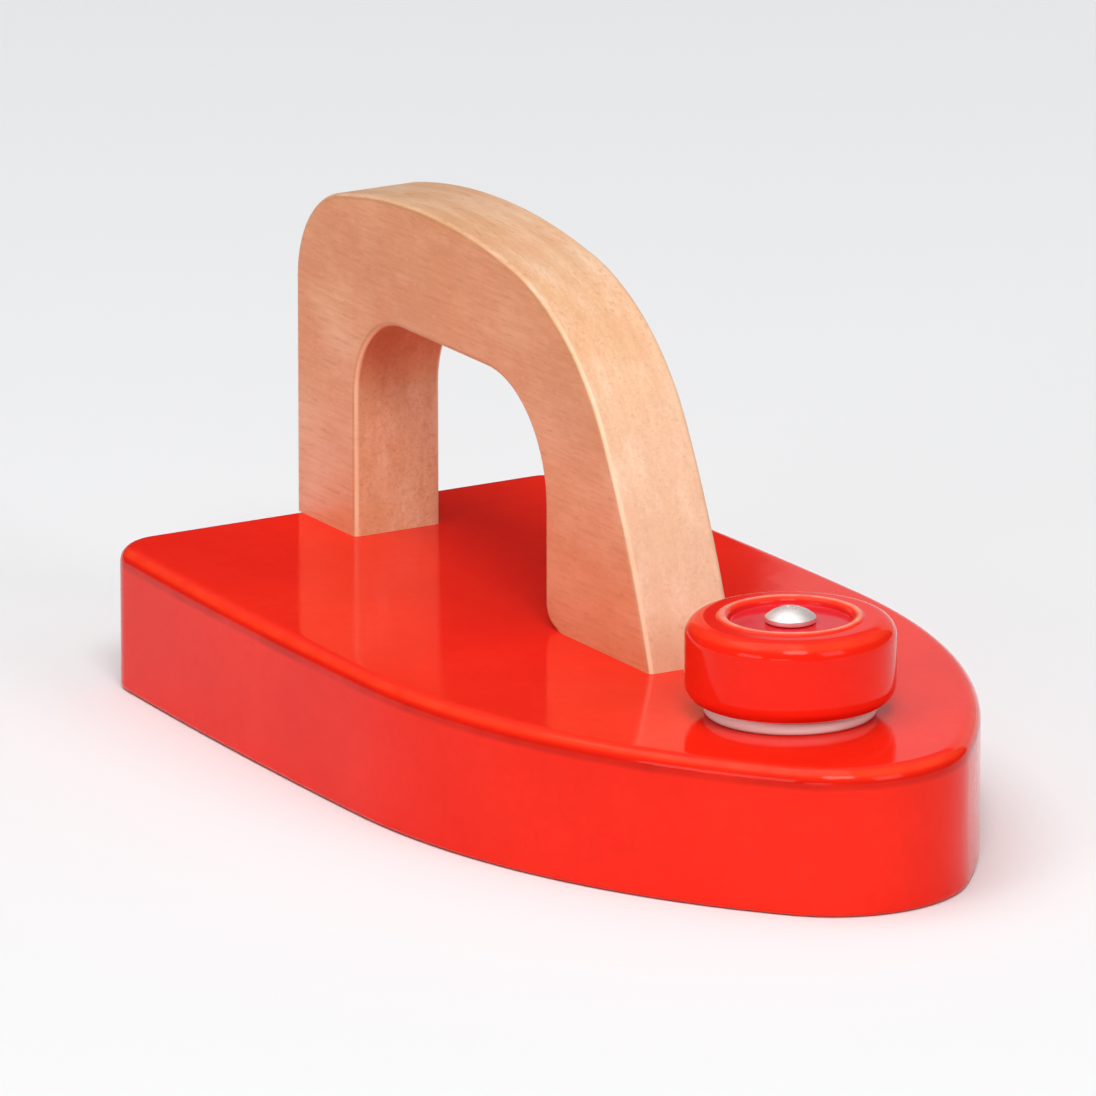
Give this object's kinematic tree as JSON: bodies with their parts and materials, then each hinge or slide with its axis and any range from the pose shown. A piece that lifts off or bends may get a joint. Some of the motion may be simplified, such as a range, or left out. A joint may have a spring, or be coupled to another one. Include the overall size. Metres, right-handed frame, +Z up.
{
  "type": "toy iron",
  "caption": "Wooden toy clothes iron: a thick painted base with a pointed nose, a plain beech arch handle screwed on from below, and a painted dial knob that turns on a screw.",
  "frame": {"origin": "middle of the sole, halfway between heel and nose, on the surface that the iron stands on", "axes": "+X points from the heel to the nose, +Z is up"},
  "size_m": [0.175, 0.0934, 0.0825],
  "materials": {
    "base_paint": "gloss red paint on wood",
    "handle_wood": "plain sanded beech with a thin clear coat",
    "knob_paint": "gloss red paint on turned wood",
    "spacer_nylon": "natural nylon",
    "knob_screw_steel": "bright zinc plated",
    "handle_screw_steel": "bright zinc plated"
  },
  "bodies": {
    "iron": {"base": "base_paint", "handle": "handle_wood", "spacer_washer": "spacer_nylon", "knob_screw": "knob_screw_steel", "handle_screws": "handle_screw_steel"},
    "dial": {"knob": "knob_paint"}
  },
  "joints": [
    {"name": "dial_turn", "type": "hinge", "parent": "iron", "child": "dial", "pos_m": [0.0535, 0, 0.0325], "axis": [0, 0, 1], "continuous": true}
  ]
}
